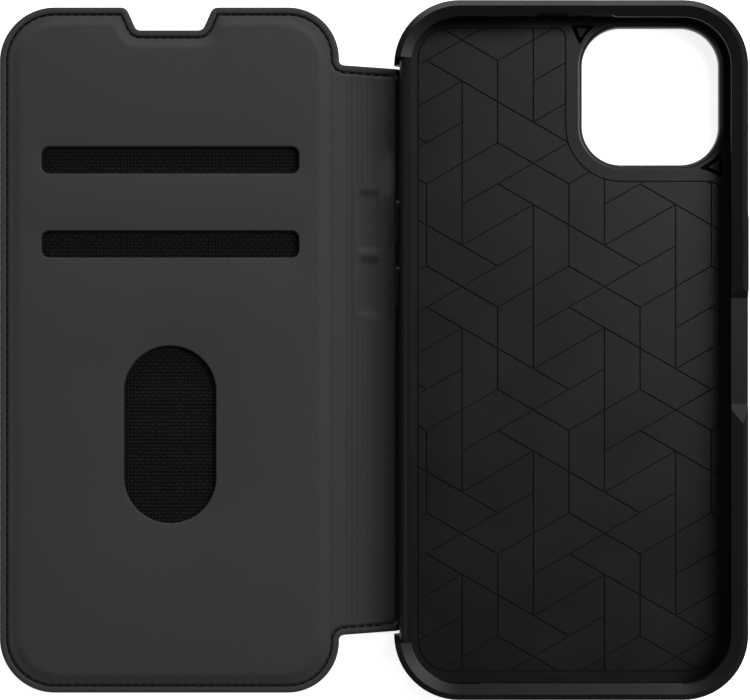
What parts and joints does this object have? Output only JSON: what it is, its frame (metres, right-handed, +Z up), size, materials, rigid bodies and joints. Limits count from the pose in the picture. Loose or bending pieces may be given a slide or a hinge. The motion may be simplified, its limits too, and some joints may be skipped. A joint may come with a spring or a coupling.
{
  "type": "phone wallet case",
  "caption": "Folio wallet case for a phone: a hard shell with working side buttons, a folding spine and a stitched leather cover with a card pocket.",
  "frame": {"origin": "centre of the open case's footprint, on the ground under its outer leather", "axes": "+X from the cover across the spine to the shell's free side, +Y towards the camera end, +Z up out of the open case"},
  "size_m": [0.1648, 0.1518, 0.012],
  "materials": {
    "shell_plastic": "fine satin moulding grain",
    "liner_pad": "soft matt pad with fine scored lines",
    "bezel_plastic": "satin",
    "button_plastic": "smooth satin",
    "outer_leather": "fine smooth grain, matt",
    "inner_leather": "fine smooth grain, matt",
    "board": "plain board",
    "spacer": "plain foam board",
    "relief_pad": "smooth",
    "pocket_mesh": "basket weave",
    "thread": "twisted sewing thread"
  },
  "bodies": {
    "shell": {"hard_shell": "shell_plastic", "inner_liner": "liner_pad", "back_skin": "outer_leather", "camera_bezel": "bezel_plastic"},
    "power_key": {"power_button": "button_plastic"},
    "volume_up_key": {"volume_up_button": "button_plastic"},
    "volume_down_key": {"volume_down_button": "button_plastic"},
    "spine": {"spine_skin": "outer_leather", "spine_stiffener": "board", "spine_lining": "inner_leather", "spine_button_pads": "relief_pad", "spine_thread": "thread"},
    "cover": {"cover_skin": "outer_leather", "cover_board": "board", "pocket_frame": "spacer", "pocket_mesh": "pocket_mesh", "cover_lining": "inner_leather", "cover_thread": "thread"}
  },
  "joints": [
    {"name": "spine_fold", "type": "hinge", "parent": "shell", "child": "spine", "pos_m": [0.00479, 0, 0.00095], "axis": [0, 1, 0], "range_deg": [-90, 90]},
    {"name": "cover_fold", "type": "hinge", "parent": "spine", "child": "cover", "pos_m": [-0.00766, 0, 0.0011], "axis": [0, 1, 0], "range_deg": [-90, 90]},
    {"name": "power_press", "type": "slide", "parent": "shell", "child": "power_key", "axis": [-1, 0, 0], "range_m": [0, 0.0004], "stiffness_N_per_m": 400},
    {"name": "volume_up_press", "type": "slide", "parent": "shell", "child": "volume_up_key", "axis": [1, 0, 0], "range_m": [0, 0.0003], "stiffness_N_per_m": 400},
    {"name": "volume_down_press", "type": "slide", "parent": "shell", "child": "volume_down_key", "axis": [1, 0, 0], "range_m": [0, 0.0003], "stiffness_N_per_m": 400}
  ]
}
